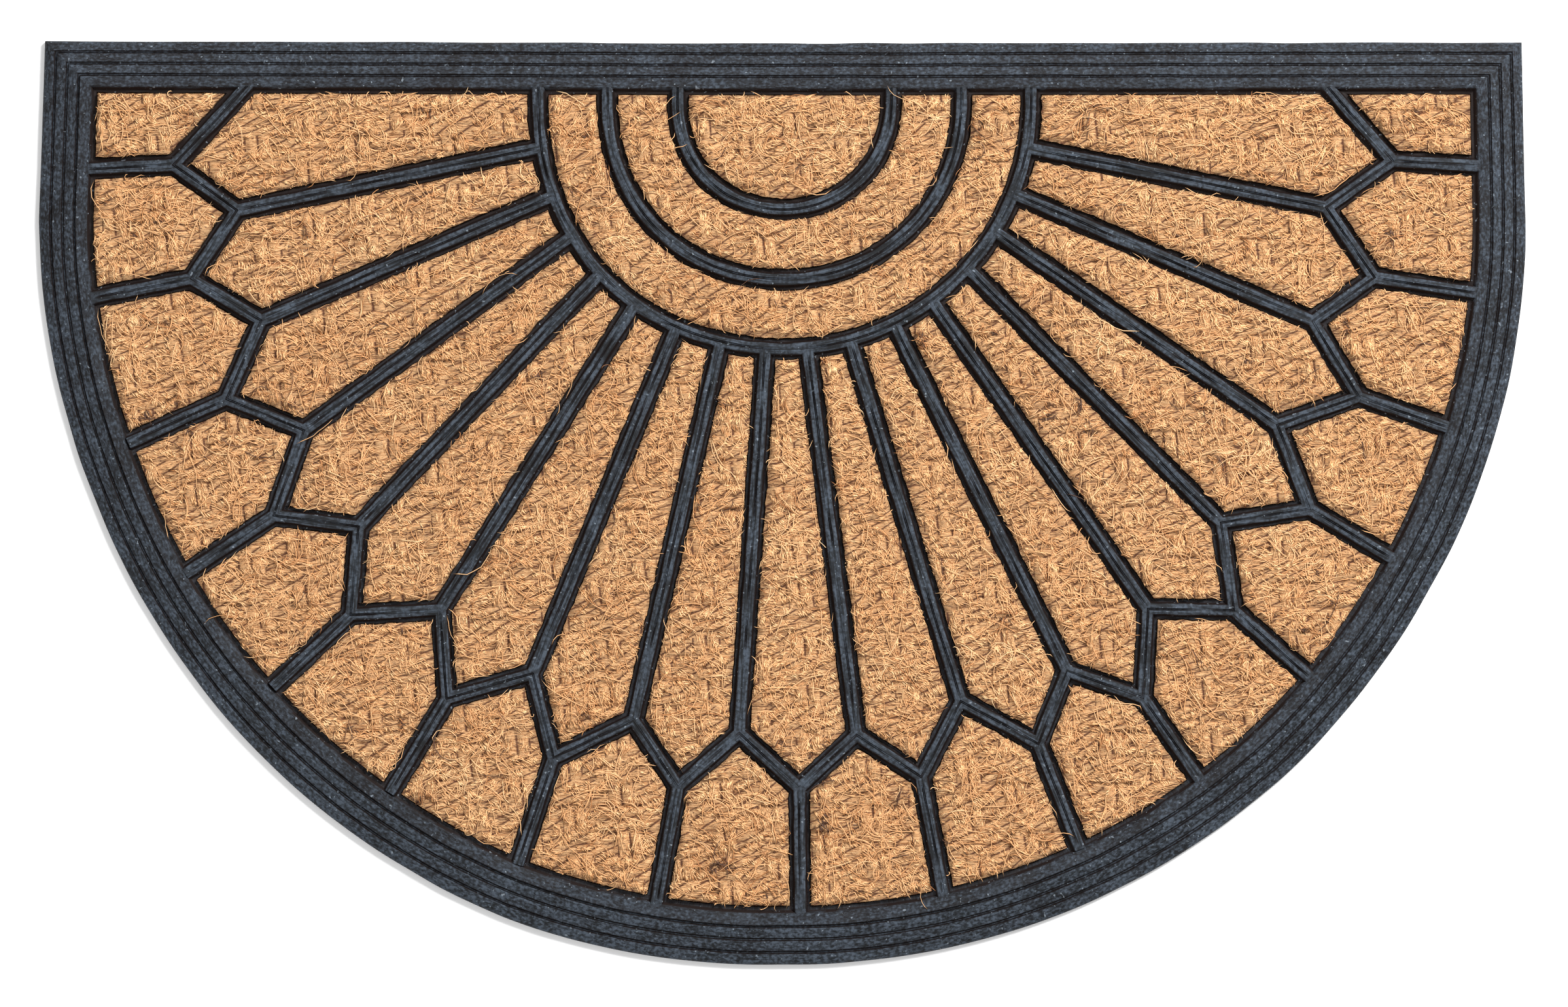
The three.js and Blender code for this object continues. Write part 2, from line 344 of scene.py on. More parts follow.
def rib_spot(x, y):
    """How far places are from the nearest rib's centre line, along the ribs, and to its left."""
    nearest = np.full(np.shape(x), np.inf)
    along = np.zeros(np.shape(x))
    side = np.zeros(np.shape(x))
    travelled = 0.0
    for line in RIB_LINES:
        for (ax, ay), (bx, by) in zip(line[:-1], line[1:]):
            dx, dy = bx - ax, by - ay
            length = math.hypot(dx, dy)
            share = np.clip(((x - ax) * dx + (y - ay) * dy) / (dx * dx + dy * dy), 0, 1)
            distance = np.hypot(x - ax - share * dx, y - ay - share * dy)
            closer = distance < nearest
            nearest = np.where(closer, distance, nearest)
            along = np.where(closer, travelled + share * length, along)
            side = np.where(closer, ((y - ay) * dx - (x - ax) * dy) / length, side)
            travelled += length
    return nearest, along, side


def edge_at(bearing):
    """The round edge's reach and border width at a bearing in degrees."""
    bearings, reaches, borders = np.transpose(ROUND_EDGE)
    return np.interp(bearing, bearings, reaches), np.interp(bearing, bearings, borders)


def border_insets(x, y):
    """How far in places are from the round edge or the short sides, and from the straight edge."""
    bearing = np.degrees(np.arctan2(ARC_CENTRE_Y - y, -x))
    reach, border = edge_at(np.clip(bearing, 0, 180))
    round_inset = (reach - np.hypot(x, y - ARC_CENTRE_Y)) * BORDER_WIDTH / border
    up = (y - ARC_CENTRE_Y) / (LEFT_CORNER[1] - ARC_CENTRE_Y)
    left = (x + MAT_WIDTH / 2 - (MAT_WIDTH / 2 + LEFT_CORNER[0]) * up) * BORDER_WIDTH / LEFT_BORDER
    right = (MAT_WIDTH / 2 - x - (MAT_WIDTH / 2 - RIGHT_CORNER[0]) * up) * BORDER_WIDTH / RIGHT_BORDER
    tops = np.interp(x, *zip(LEFT_CORNER, STRAIGHT_MIDDLE, RIGHT_CORNER))
    top = (tops - y) * BORDER_WIDTH / STRAIGHT_BORDER
    sides = np.where(y > ARC_CENTRE_Y, np.minimum(left, right), round_inset)
    return sides, top


def border_inset(x, y):
    """How far in from the mat's edge places are, on the border's nominal width."""
    return np.minimum(*border_insets(x, y))


def border_way(x, y, on_top):
    """How far round the mat places on the border are."""
    half_turn = math.pi * MAT_WIDTH / 2
    round_way = np.arctan2(ARC_CENTRE_Y - y, -x) * MAT_WIDTH / 2
    side_way = np.where(x < 0, ARC_CENTRE_Y - y, half_turn + y - ARC_CENTRE_Y)
    return np.where(on_top, 2 * half_turn - x, np.where(y > ARC_CENTRE_Y, side_way, round_way))


def clearance(x, y):
    """How far inside a window's wall places are, negative under the rubber."""
    from_border = border_inset(x, y) - LEDGE_INSET - GAP
    return np.minimum(rib_spot(x, y)[0] - LEDGE_HALF - GAP, from_border)


# The clearance, worked out once on a chart of the mat with a point each millimetre
chart_low, chart_high = (Vector(corner) / MM for corner in cad_box)
CHART_X = np.arange(chart_low.x - 2, chart_high.x + 3)
CHART_Y = np.arange(chart_low.y - 2, chart_high.y + 3)
CHART = clearance(*np.meshgrid(CHART_X, CHART_Y))


def charted_clearance(x, y):
    """The clearance at some places, read off between the chart's points."""
    across = np.clip(x - CHART_X[0], 0, len(CHART_X) - 1.001)
    along = np.clip(y - CHART_Y[0], 0, len(CHART_Y) - 1.001)
    return read_table(CHART, across, along)


# Modelling with Blender's tools


def pick(piece):
    """Makes a piece the active one, and the only one that is selected."""
    bpy.ops.object.select_all(action="DESELECT")
    piece.select_set(True)
    bpy.context.view_layer.objects.active = piece


def edit_all(piece):
    """Opens one piece in edit mode, with everything in it selected."""
    pick(piece)
    bpy.ops.object.mode_set(mode="EDIT")
    bpy.ops.mesh.select_all(action="SELECT")


def select_only(piece, kind, wanted):
    """In edit mode, selects just the edges or faces that pass a test."""
    bpy.ops.mesh.select_mode(type=kind)
    bpy.ops.mesh.select_all(action="DESELECT")
    shape = bmesh.from_edit_mesh(piece.data)
    for part in shape.edges if kind == "EDGE" else shape.faces:
        if wanted(part):
            part.select_set(True)
    bmesh.update_edit_mesh(piece.data)


def places_of(piece):
    """The places of a piece's vertices, as rows."""
    places = np.empty(len(piece.data.vertices) * 3)
    piece.data.vertices.foreach_get("co", places)
    return places.reshape(-1, 3)


def corners_of(mesh):
    """The vertex of each face corner, and each face's middle and number of corners."""
    count = len(mesh.polygons)
    vertices = np.empty(len(mesh.loops), int)
    mesh.loops.foreach_get("vertex_index", vertices)
    middles = np.empty(count * 3)
    mesh.polygons.foreach_get("center", middles)
    corners = np.empty(count, int)
    mesh.polygons.foreach_get("loop_total", corners)
    return vertices, middles.reshape(-1, 3), corners


def put_back(piece, places):
    """Moves a piece's vertices to these places."""
    piece.data.vertices.foreach_set("co", np.ascontiguousarray(places, float).ravel())
    piece.data.update()


def mark(mesh, name, values, domain="POINT"):
    """Stores a number or a vector for each vertex, or for each face corner."""
    kind, key = ("FLOAT_VECTOR", "vector") if values.ndim > 1 else ("FLOAT", "value")
    attribute = mesh.attributes.new(name, kind, domain)
    attribute.data.foreach_set(key, values.ravel().astype(np.float32))


def add_bar(section, segments):
    """A straight bar of unit segments along +X: a circle put on its section, extruded and cut across."""
    bpy.ops.mesh.primitive_circle_add(vertices=len(section), fill_type="NGON")
    bar = bpy.context.object
    put_back(bar, np.column_stack([np.zeros(len(section)), section]))
    edit_all(bar)
    bpy.ops.mesh.extrude_region_move(TRANSFORM_OT_translate={"value": (segments, 0, 0)})
    parts = 1
    while parts < segments:
        length = segments // parts
        cuts = length - 1 if length <= MOST_CUTS else 1
        select_only(bar, "EDGE", lambda edge: abs(edge.verts[0].co.x - edge.verts[1].co.x) > 0.5)
        bpy.ops.mesh.subdivide(number_cuts=cuts)
        parts *= cuts + 1
    bpy.ops.object.mode_set(mode="OBJECT")
    return bar


def face_outwards(piece):
    """Turns a closed piece's faces outwards. Recalculating can leave them inwards where one is large."""
    edit_all(piece)
    bpy.ops.mesh.normals_make_consistent(inside=False)
    if bmesh.from_edit_mesh(piece.data).calc_volume(signed=True) < 0:
        bpy.ops.mesh.flip_normals()
    bpy.ops.object.mode_set(mode="OBJECT")


def both_sides(half):
    """A whole section from its right half, which runs from the bottom up."""
    return list(half) + [(-side, height) for side, height in half[::-1] if side > 0]


def join(pieces):
    """Several pieces as one."""
    pick(pieces[0])
    for piece in pieces:
        piece.select_set(True)
    bpy.ops.object.join()
    return pieces[0]


def combine(piece, others, operation):
    """Adds other pieces to a piece, cuts them off it, or keeps what they share."""
    pick(piece)
    for other in others:
        modifier = piece.modifiers.new("combine", "BOOLEAN")
        modifier.operation = operation
        modifier.solver = "MANIFOLD"
        modifier.object = other
        bpy.ops.object.modifier_apply(modifier=modifier.name)
        bpy.data.objects.remove(other)


def finish_piece(piece, name, material, shading_angle):
    """Names a piece, turns it to metres, smooths it, and gives it its material and body."""
    pick(piece)
    piece.name = name
    piece.data.name = name
    put_back(piece, places_of(piece) * MM)
    bpy.ops.object.shade_smooth_by_angle(angle=math.radians(shading_angle))
    piece.data.materials.clear()
    piece.data.materials.append(material)
    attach(piece, "root")


# Rubber


def add_rib(section, path, fade_ends):
    """A bar laid along a rib's path, unevenly as moulded. The line on its top fades out at free ends."""
    bar = add_bar(section, len(path) - 1)
    places = places_of(bar)
    station = np.rint(places[:, 0]).astype(int)
    side, height = places[:, 1:].T
    middle = path[station]
    sideways = mitres(path)[station]
    x, y = (middle + sideways * side[:, None]).T
    reach = np.abs(side)
    ledge = np.clip((reach - LEDGE_START) / (LEDGE_HALF - LEDGE_START), 0, 1)
    shoulder = np.clip(SHOULDER_SPAN - np.abs(reach - SHOULDER), 0, 1)
    line = reach < LINE_HALF + 0.2
    outwards = ledge * ledge_raggedness(x, y) + shoulder * 0.3 * lumps(x, y, 9, 23)
    moved = side + np.sign(side) * outwards + line * 0.35 * lumps(*middle.T, 28, 24)
    strength = np.clip(0.75 + 0.95 * lumps(*middle.T, 13, 25), 0.05, 1)
    if fade_ends:
        steps = np.linalg.norm(np.diff(path, axis=0), axis=1)
        travelled = np.concatenate([[0], np.cumsum(steps)])[station]
        to_end = np.minimum(travelled, travelled.max() - travelled)
        strength = strength * np.clip((to_end - LINE_END) / LINE_FADE, 0, 1)
    in_line = line & (height < BAR_TOP)
    height = np.where(in_line, BAR_TOP - (BAR_TOP - height) * strength, height)
    height = height + (height > BAR_TOP - 0.5) * 0.13 * lumps(x, y, 7, 26) + ledge * flash(x, y)
    under_border = np.clip(BORDER_WIDTH + 0.2 - border_inset(x, y), 0, 1)
    height = height - SINK * under_border * (height > BAR_TOP - 1)
    put_back(bar, np.column_stack([middle + sideways * moved[:, None], height]))
    face_outwards(bar)
    return bar


def ledge_raggedness(x, y):
    """How far the ledge's torn edge stands out beside the coir."""
    return 0.33 * lumps(x, y, 1.5, 21) + 0.28 * lumps(x, y, 5, 22)


def flash(x, y):
    """Beads of rubber that were squeezed up along the ledge's edge."""
    return 2.4 * np.clip(lumps(x, y, 2.6, 27) - 0.45, 0, 1)


def add_ribs(section):
    """The ribs in groups whose members don't touch."""
    rings = [add_rib(section, ring_path(ring, RIB_STEP), False) for ring in RINGS]
    zigzag = add_rib(section, space_out(zigzag_corners(), LEDGE_HALF), False)
    spokes = [add_rib(section, space_out(ends, 0), True) for ends in spoke_ends()]
    stubs = [add_rib(section, space_out(ends, 0), True) for ends in stub_ends()]
    return [join(rings), zigzag, join(spokes), join(stubs)]


def leg_stations(start, end, free_start, free_end):
    """Stations from a leg's start to before its end, with a free length beside each."""
    length = np.linalg.norm(end - start)
    last = length - free_end
    shares = np.linspace(free_start, last, round((last - free_start) / BORDER_STEP) + 1)
    shares = [0, *shares[shares > TINY]]
    return [start + (end - start) * share / length for share in shares if share < length - TINY]


def outline_stations():
    """Stations round the mat, and the step inwards across the border at each."""
    top_right, middle, top_left = np.array([RIGHT_CORNER, STRAIGHT_MIDDLE, LEFT_CORNER])
    bearings = np.linspace(0, 180, round(math.pi * MAT_WIDTH / 2 / BORDER_STEP) + 1)
    reach, border = edge_at(bearings)
    angles = np.radians(bearings)
    arc = np.column_stack([-reach * np.cos(angles), ARC_CENTRE_Y - reach * np.sin(angles)])
    runs = [
        (leg_stations(top_right, middle, BORDER_MARGIN, 0), STRAIGHT_BORDER),
        (leg_stations(middle, top_left, 0, BORDER_MARGIN), STRAIGHT_BORDER),
        (leg_stations(top_left, arc[0], BORDER_MARGIN, 0), LEFT_BORDER),
        (arc[:-1], border[:-1]),
        (leg_stations(arc[-1], top_right, 0, BORDER_MARGIN), RIGHT_BORDER),
    ]
    points = np.concatenate([run for run, _ in runs])
    widths = np.concatenate([np.broadcast_to(width, len(run)) for run, width in runs])
    loop = np.column_stack([points, widths])
    loop = fill_gaps(np.vstack([loop, loop[:1]]), 2 * BORDER_STEP)[:-1]
    return loop[:, :2], inward_steps(loop[:, :2], loop[:, 2])


def inward_steps(points, widths):
    """The step inwards across the border at each point. At a sharp corner two widths can meet."""
    before = left_of(points - np.roll(points, 1, axis=0))
    after = left_of(np.roll(points, -1, axis=0) - points)
    plain = (before + after) / (1 + (before * after).sum(axis=1))[:, None] * widths[:, None]
    width_before = np.roll(widths, 1)
    turn = before[:, 0] * after[:, 1] - before[:, 1] * after[:, 0]
    sharp = np.abs(turn) > 0.5
    safe = np.where(sharp, turn, 1)
    x = (width_before * after[:, 1] - widths * before[:, 1]) / safe
    y = (widths * before[:, 0] - width_before * after[:, 0]) / safe
    return np.where(sharp[:, None], np.column_stack([x, y]), plain)


def border_section():
    """The border's section: outer edge, bands and grooves, flank, ledge and pocket wall."""
    rows = [(0, 0), (0, EDGE_HEIGHT - 0.5), (0.3, EDGE_HEIGHT + 0.2)]
    last = len(BANDS) - 1
    for i, (start, end, outer, inner) in enumerate(BANDS):
        rows += [(start, outer - BAND_ROUNDING), (start + BAND_ROUNDING, outer)]
        rows += [(end - BAND_ROUNDING, inner), (end, inner - BAND_ROUNDING)]
        if i < last:
            floor = inner - GROOVE_DEPTH
            following = BANDS[i + 1][0]
            middle = (end + following) / 2
            rows += [(end + 0.15, floor), (middle, floor + BEAD_DEPTH), (following - 0.15, floor)]
    return rows + [
        (24.4, 8.3),
        (FLANK_FOOT, 6.4),
        (25.8, LEDGE_TOP),
        (LEDGE_INSET - 0.3, LEDGE_TOP),
        (LEDGE_INSET, LEDGE_TOP - 0.4),
        (LEDGE_INSET, LEDGE_UNDERSIDE),
        (POCKET_EDGE, LEDGE_UNDERSIDE),
        (POCKET_EDGE, 0),
    ]


def add_border(points, inward):
    """The border: a bar laid round the outline, its ends joined to a ring."""
    bar = add_bar(border_section(), len(points))
    places = places_of(bar)
    station = np.rint(places[:, 0]).astype(int) % len(points)
    inset, height = places[:, 1:].T
    x, y = (points[station] + inward[station] * (inset / BORDER_WIDTH)[:, None]).T
    ledge = np.clip((inset - FLANK_FOOT) / (LEDGE_INSET - FLANK_FOOT), 0, 1) * (height > 1)
    inner_corner = np.abs(inset - BORDER_WIDTH) < 0.5
    banded = (inset > 1) & (inset < BORDER_WIDTH)
    moved = inset + ledge * ledge_raggedness(x, y) + inner_corner * 0.25 * lumps(x, y, 8, 31)
    moved += banded * 0.16 * lumps(x, y, 17, 32) + (inset < 1) * 0.25 * lumps(x, y, 21, 35)
    height = height + (height > 3) * 0.1 * lumps(x, y, 12, 33) + ledge * (height > 5) * flash(x, y)
    spot = points[station] + inward[station] * (moved / BORDER_WIDTH)[:, None]
    put_back(bar, np.column_stack([spot, height]))
    edit_all(bar)
    select_only(bar, "FACE", lambda face: len(face.verts) > 4)
    bpy.ops.mesh.delete(type="ONLY_FACE")
    bpy.ops.mesh.select_all(action="SELECT")
    bpy.ops.mesh.remove_doubles(threshold=1e-4)
    bpy.ops.object.mode_set(mode="OBJECT")
    face_outwards(bar)
    return bar


def add_plate(points, inward, inset, low, high):
    """A flat plate inside the outline: a filled circle put on it, and extruded upwards."""
    bpy.ops.mesh.primitive_circle_add(vertices=len(points), fill_type="NGON")
    plate = bpy.context.object
    spots = points + inward * (inset / BORDER_WIDTH)
    put_back(plate, np.column_stack([spots, np.full(len(spots), low)]))
    edit_all(plate)
    bpy.ops.mesh.extrude_region_move(TRANSFORM_OT_translate={"value": (0, 0, high - low)})
    bpy.ops.object.mode_set(mode="OBJECT")
    face_outwards(plate)
    return plate


def mark_bloom_and_painted_light(piece):
    """Marks where the pale bloom shows, most on tops and bands, and which way it streaks. The same mark
    paints light and shade: paler rib tops partly as painted sheen, darker lines and grooves as painted shade,
    and where it is missing the rubber stays brown-black as painted shade.
    """
    x, y, z = places_of(piece).T
    distance, along, side = rib_spot(x, y)
    inset = border_inset(x, y)
    # Rib tops take the pale mark: partly bloom, partly painted sheen where light catches them. Flanks keep
    # none and stay brown-black, painted shade.
    bloom_and_painted_light = np.clip((3.0 - distance) / 0.4, 0, 1) * (z > 8.4)
    # The fine line along a rib's top gets a small share: painted shade in its groove.
    in_line = (distance > 0.15) & (distance < LINE_HALF + 0.02) & (z < 8.75)
    bloom_and_painted_light[in_line & (inset > BORDER_WIDTH)] *= LINE_PAINTED_SHADE
    # Ledges get a small share, full up to y = 0 and fading to none at y = 150 mm.
    on_ledge = (np.abs(z - LEDGE_TOP) < 0.3) & (inset > FLANK_FOOT + 0.3)
    bloom_and_painted_light = np.where(on_ledge, LEDGE_BLOOM * np.clip(1 - y / 150, 0, 1), bloom_and_painted_light)
    on_border = (inset < BORDER_WIDTH + 0.4) & (z > EDGE_HEIGHT - 1)
    # The border's outer bands are paler towards the bottom of the mat and darker towards the straight edge;
    # the inner band takes a fixed share.
    paler_towards_bottom = 0.95 - 0.2 * np.clip(y / LEFT_CORNER[1], -0.5, 1)
    bloom_and_painted_light = np.where(on_border, np.where(inset > BANDS[-1][0] - 0.3, BAND_BLOOM, paler_towards_bottom), bloom_and_painted_light)
    # In each groove of the border the bead gets a painted highlight and its sides painted shade.
    for (_, end, _, _), (following, _, _, _) in zip(BANDS[:-1], BANDS[1:]):
        middle = (end + following) / 2
        in_groove = on_border & (inset > end - 0.1) & (inset < following + 0.1)
        bloom_and_painted_light[in_groove] = np.where(np.abs(inset[in_groove] - middle) < 0.25, BEAD_PAINTED_HIGHLIGHT, GROOVE_PAINTED_SHADE)
    vertices, middles, corners = corners_of(piece.data)
    sides, top = border_insets(middles[:, 0], middles[:, 1])
    way = border_way(x[vertices], y[vertices], np.repeat(top < sides, corners))
    on_border = on_border[vertices]
    along = np.where(on_border, BORDER_MOTTLE * way, along[vertices])
    side = np.where(on_border, BORDER_START + inset[vertices], side[vertices])
    mark(piece.data, "bloom_and_painted_light", bloom_and_painted_light)
    mark(piece.data, "grain", np.column_stack([along, side, z[vertices]]) * MM, "CORNER")


def crease_mitres(piece):
    """Marks the edges along the mitres of the border's square corners sharp."""
    x, y, _ = places_of(piece).T
    sides, top = border_insets(x, y)
    on_mitre = (np.abs(sides - top) < 0.6) & (sides < LEDGE_INSET + 1)
    edit_all(piece)
    select_only(piece, "EDGE", lambda edge: all(on_mitre[corner.index] for corner in edge.verts))
    bpy.ops.mesh.mark_sharp()
    bpy.ops.object.mode_set(mode="OBJECT")


def make_rubber(material):
    """The whole moulding: border, backing plate and ribs joined to one body."""
    points, inward = outline_stations()
    rubber = add_border(points, inward)
    plate = add_plate(points, inward, POCKET_EDGE - 2, 0, BACKING_TOP)
    combine(rubber, [plate, *add_ribs(both_sides(RIB_SECTION))], "UNION")
    mark_bloom_and_painted_light(rubber)
    crease_mitres(rubber)
    finish_piece(rubber, "rubber_mat", material, 40)
    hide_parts("rubber_moulding")
    return rubber


# Coir


def yarn_axes(x, y):
    """Places on the uneven sheet, measured across the warp and up along it."""
    across = x + WARP_LEAN * y - WEAVE_START[0] + 1.8 * lumps(x, y, 60, 41)
    up = y - WEAVE_START[1] + 1.5 * lumps(x, y, 45, 42) + 0.7 * lumps(x, y, 14, 50)
    return across, up


def bundle_centre(column):
    """How far up the first warp bundle of a column has its centre."""
    return WEFT_PITCH + (column % 2) * 2 * WEFT_PITCH


def yarn_at(x, y):
    """The weft row, warp column and warp bundle that places belong to."""
    across, up = yarn_axes(x, y)
    row = np.floor(up / WEFT_PITCH)
    column = np.rint(across / WARP_SPACING)
    bundle = np.rint((up - bundle_centre(column)) / WEAVE_REPEAT)
    return row, column, bundle


def weft_spot(x, y, row):
    """Where places lie on a weft yarn: plies along it, and how far up its width, from -0.5 to 0.5."""
    across, up = yarn_axes(x, y)
    over = up / WEFT_PITCH - row - 0.5 + 0.15 * lumps(x, 40 * row, 8, 43)
    lean = PLY_LEAN * (1 + 0.4 * lumps(x, 70 * row, 50, 53))
    ply = across / PLY_LENGTH - lean * over + 0.5 * lumps(x, 90 * row, 40, 44)
    return ply, over


def warp_spot(x, y, column, bundle):
    """Where places lie on a warp bundle, from -1 to 1 both ways, and how much it stands out."""
    across, up = yarn_axes(x, y)
    chance = np.random.default_rng(45).uniform(-1, 1, (4, LUMP_CELLS, LUMP_CELLS))
    row = (bundle % LUMP_CELLS).astype(int)
    shift_x, shift_y, longer, higher = chance[:, row, (column % LUMP_CELLS).astype(int)]
    beside = across - column * WARP_SPACING + BUNDLE_SHIFT * shift_x
    along = up - bundle_centre(column) - bundle * WEAVE_REPEAT + BUNDLE_SHIFT * shift_y
    return beside / WARP_HALF_WIDTH, along / (WARP_HALF_LENGTH * (1 + BUNDLE_STRETCH * longer)), higher


def dome(reach):
    """A round hump: 1 in the middle, falling to 0 where the reach is 1."""
    return np.sqrt(np.clip(1 - reach**2, 0, 1))


def weave(x, y):
    """The woven surface: its height, where warp is on top, and how near a ply's crown."""
    row, column, bundle = yarn_at(x, y)
    ply, over = weft_spot(x, y, row)
    back = dome(over / BACK_REACH)
    lobe = dome((ply - np.floor(ply) - 0.5) / LOBE_REACH)
    under_even = np.floor(row / 2) % 2 == 0
    rise = np.cos(math.pi * yarn_axes(x, y)[0] / WARP_SPACING) * np.where(under_even, -1, 1)
    weft = WEFT_RISE * rise + back * (WEFT_BACK + WEFT_LOBE * lobe)
    beside, along, higher = warp_spot(x, y, column, bundle)
    arch = dome(along)
    strand = dome((np.abs(beside) - 0.5) / STRAND_REACH)
    warp = WARP_FOOT + (WARP_ARCH + 0.4 * higher) * arch * (0.3 + 0.7 * strand)
    warp = np.where((np.abs(beside) < 1) & (arch > 0), warp, -np.inf)
    on_warp = warp > weft
    height = np.maximum(warp, weft) + 0.25 * lumps(x, y, 4.5, 46) + 0.2 * lumps(x, y, 2.4, 47)
    return height, on_warp, np.where(on_warp, strand * arch, lobe * back)


def coir_top(x, y):
    """The coir's top: the weave, rolled down towards its windows' walls."""
    inside = np.clip(charted_clearance(x, y) / ROLL_WIDTH, 0, 1)
    return COIR_LOW + weave(x, y)[0] * (0.45 + 0.55 * inside) - ROLL_DROP * (1 - inside) ** 2


def add_woven_slab(width, depth, centre_y, underside):
    """A slab with the weave on top: a grid raised to it, its rim extruded down and filled."""
    columns = round(width / COIR_GRID)
    rows = round(depth / COIR_GRID)
    bpy.ops.mesh.primitive_grid_add(x_subdivisions=columns, y_subdivisions=rows, size=2)
    slab = bpy.context.object
    places = places_of(slab)
    x = places[:, 0] * width / 2
    y = places[:, 1] * depth / 2 + centre_y
    put_back(slab, np.column_stack([x, y, coir_top(x, y)]))
    edit_all(slab)
    select_only(slab, "EDGE", lambda edge: edge.is_boundary)
    bpy.ops.mesh.extrude_edges_move(TRANSFORM_OT_translate={"value": (0, 0, -COIR_LOW)})
    bpy.ops.transform.resize(value=(1, 1, 0), center_override=(0, 0, underside))
    bpy.ops.mesh.edge_face_add()
    bpy.ops.object.mode_set(mode="OBJECT")
    face_outwards(slab)
    return slab


def follow_yarns(sheet):
    """Lays a UV along the fibres, in metres, and one on the plies that places the painted shade in their
    creases, and marks each place's height for the painted shade in the dips.
    """
    mesh = sheet.data
    vertices, middles, corners = corners_of(mesh)
    on_warp = np.repeat(weave(*middles[:, :2].T)[1], corners)
    bearing = np.where(on_warp, WARP_BEARING, PLY_FIBRE_BEARING)
    row, column, bundle = (np.repeat(each, corners) for each in yarn_at(*middles[:, :2].T))
    places = places_of(sheet)
    x, y, z = places[vertices].T
    along = x * np.cos(bearing) + y * np.sin(bearing)
    across = y * np.cos(bearing) - x * np.sin(bearing) + z
    ply, over = weft_spot(x, y, row)
    beside, way, _ = warp_spot(x, y, column, bundle)
    creased = np.column_stack([np.where(on_warp, beside, ply), 0.5 + np.where(on_warp, way / 2, over)])
    for name, values in (("yarn", np.column_stack([along, across]) * MM), ("ply", creased)):
        layer = mesh.uv_layers.new(name=name)
        layer.data.foreach_set("uv", values.ravel().astype(np.float32))
    # The height, which sets the painted shade in the dips.
    mark(mesh, "raised", np.clip((places[:, 2] - COIR_LOW) / 3.0, 0, 1))


def make_coir(material):
    """The one sheet of coir: woven slab, trimmed to the mat and pressed down under the ribs."""
    underside = BACKING_TOP + GAP
    pressed_top = LEDGE_UNDERSIDE - GAP
    high = 20.0
    low, top = (Vector(corner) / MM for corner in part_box("coir_panel"))
    margin = 4.0
    centre_y = (low.y + top.y) / 2
    sheet = add_woven_slab(2 * top.x + margin, top.y - low.y + margin, centre_y, underside)
    points, inward = outline_stations()
    body = add_plate(points, inward, POCKET_EDGE + GAP, underside - 1, pressed_top)
    upper = add_plate(points, inward, LEDGE_INSET + GAP, pressed_top - 1, high)
    combine(body, [upper], "UNION")
    combine(sheet, [body], "INTERSECT")
    channel = both_sides([(LEDGE_HALF + GAP, pressed_top), (LEDGE_HALF + GAP, high)])
    combine(sheet, add_ribs(channel), "DIFFERENCE")
    follow_yarns(sheet)
    finish_piece(sheet, "coir_sheet", material, 50)
    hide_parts("coir_panel")
    return sheet


# Fibres

FIBRE_RADIUS = (0.15, 0.27)
FIBRE_SIDES = 3
LOCK_SPREAD = 0.8
FIBRES_ACROSS = (-346, 347)
FIBRES_ALONG = (-205, 208)
TRIES = 5
SHORT_POINTS = 3
SHORT_THICKER = 1.4

# A fibre's tone: in the middle, by lock, how much darker by chance, by patch, and paler on a crown as painted
# light on the weave's tops
TONE = 0.53
LOCK_TONE = 0.07
DARKER_TONE = 0.13
PATCH_TONE = 0.1
CROWN_PAINTED_LIGHT = 0.25

# Each piece: name, seed, count, fibres in a lock, lengths, spread of bearings, curl, points along a fibre,
# lift over the yarn, reach over the rubber, and how strictly they keep to crowns
FIBRES = (
    ("coir_fibres_1", 61, 32000, 4, (3.4, 6.2), 0.4, 0.6, SHORT_POINTS, 0.2, 0.6, 1.0),
    ("coir_fibres_2", 62, 32000, 4, (3.4, 6.2), 0.4, 0.6, SHORT_POINTS, 0.2, 0.6, 1.0),
    ("coir_long_fibres", 71, 6800, 2, (9, 20), 0.75, 1.3, 6, 0.9, 1.4, 0.8),
    ("coir_stray_hairs", 81, 1700, 1, (14, 32), 1.2, 2.4, 8, 1.5, 2.5, 0.3),
    ("coir_crossing_hairs", 91, 80, 1, (16, 30), 1.6, 1.8, 8, 1.0, 14, 0.3),
)


def route_fibres(chance, x, y, bearing, reach, bend, points):
    """Points along curved fibres, each with its middle at its place."""
    share = np.linspace(-0.5, 0.5, points)
    wave = chance.normal(0, 0.12, (len(x), points))
    heading = bearing[:, None] + bend[:, None] * share + wave
    steps = np.stack([np.cos(heading), np.sin(heading)]) * reach[:, None] / (points - 1)
    routes = np.cumsum(steps, axis=2)
    return routes - routes[:, :, points // 2, None] + np.stack([x, y])[:, :, None]


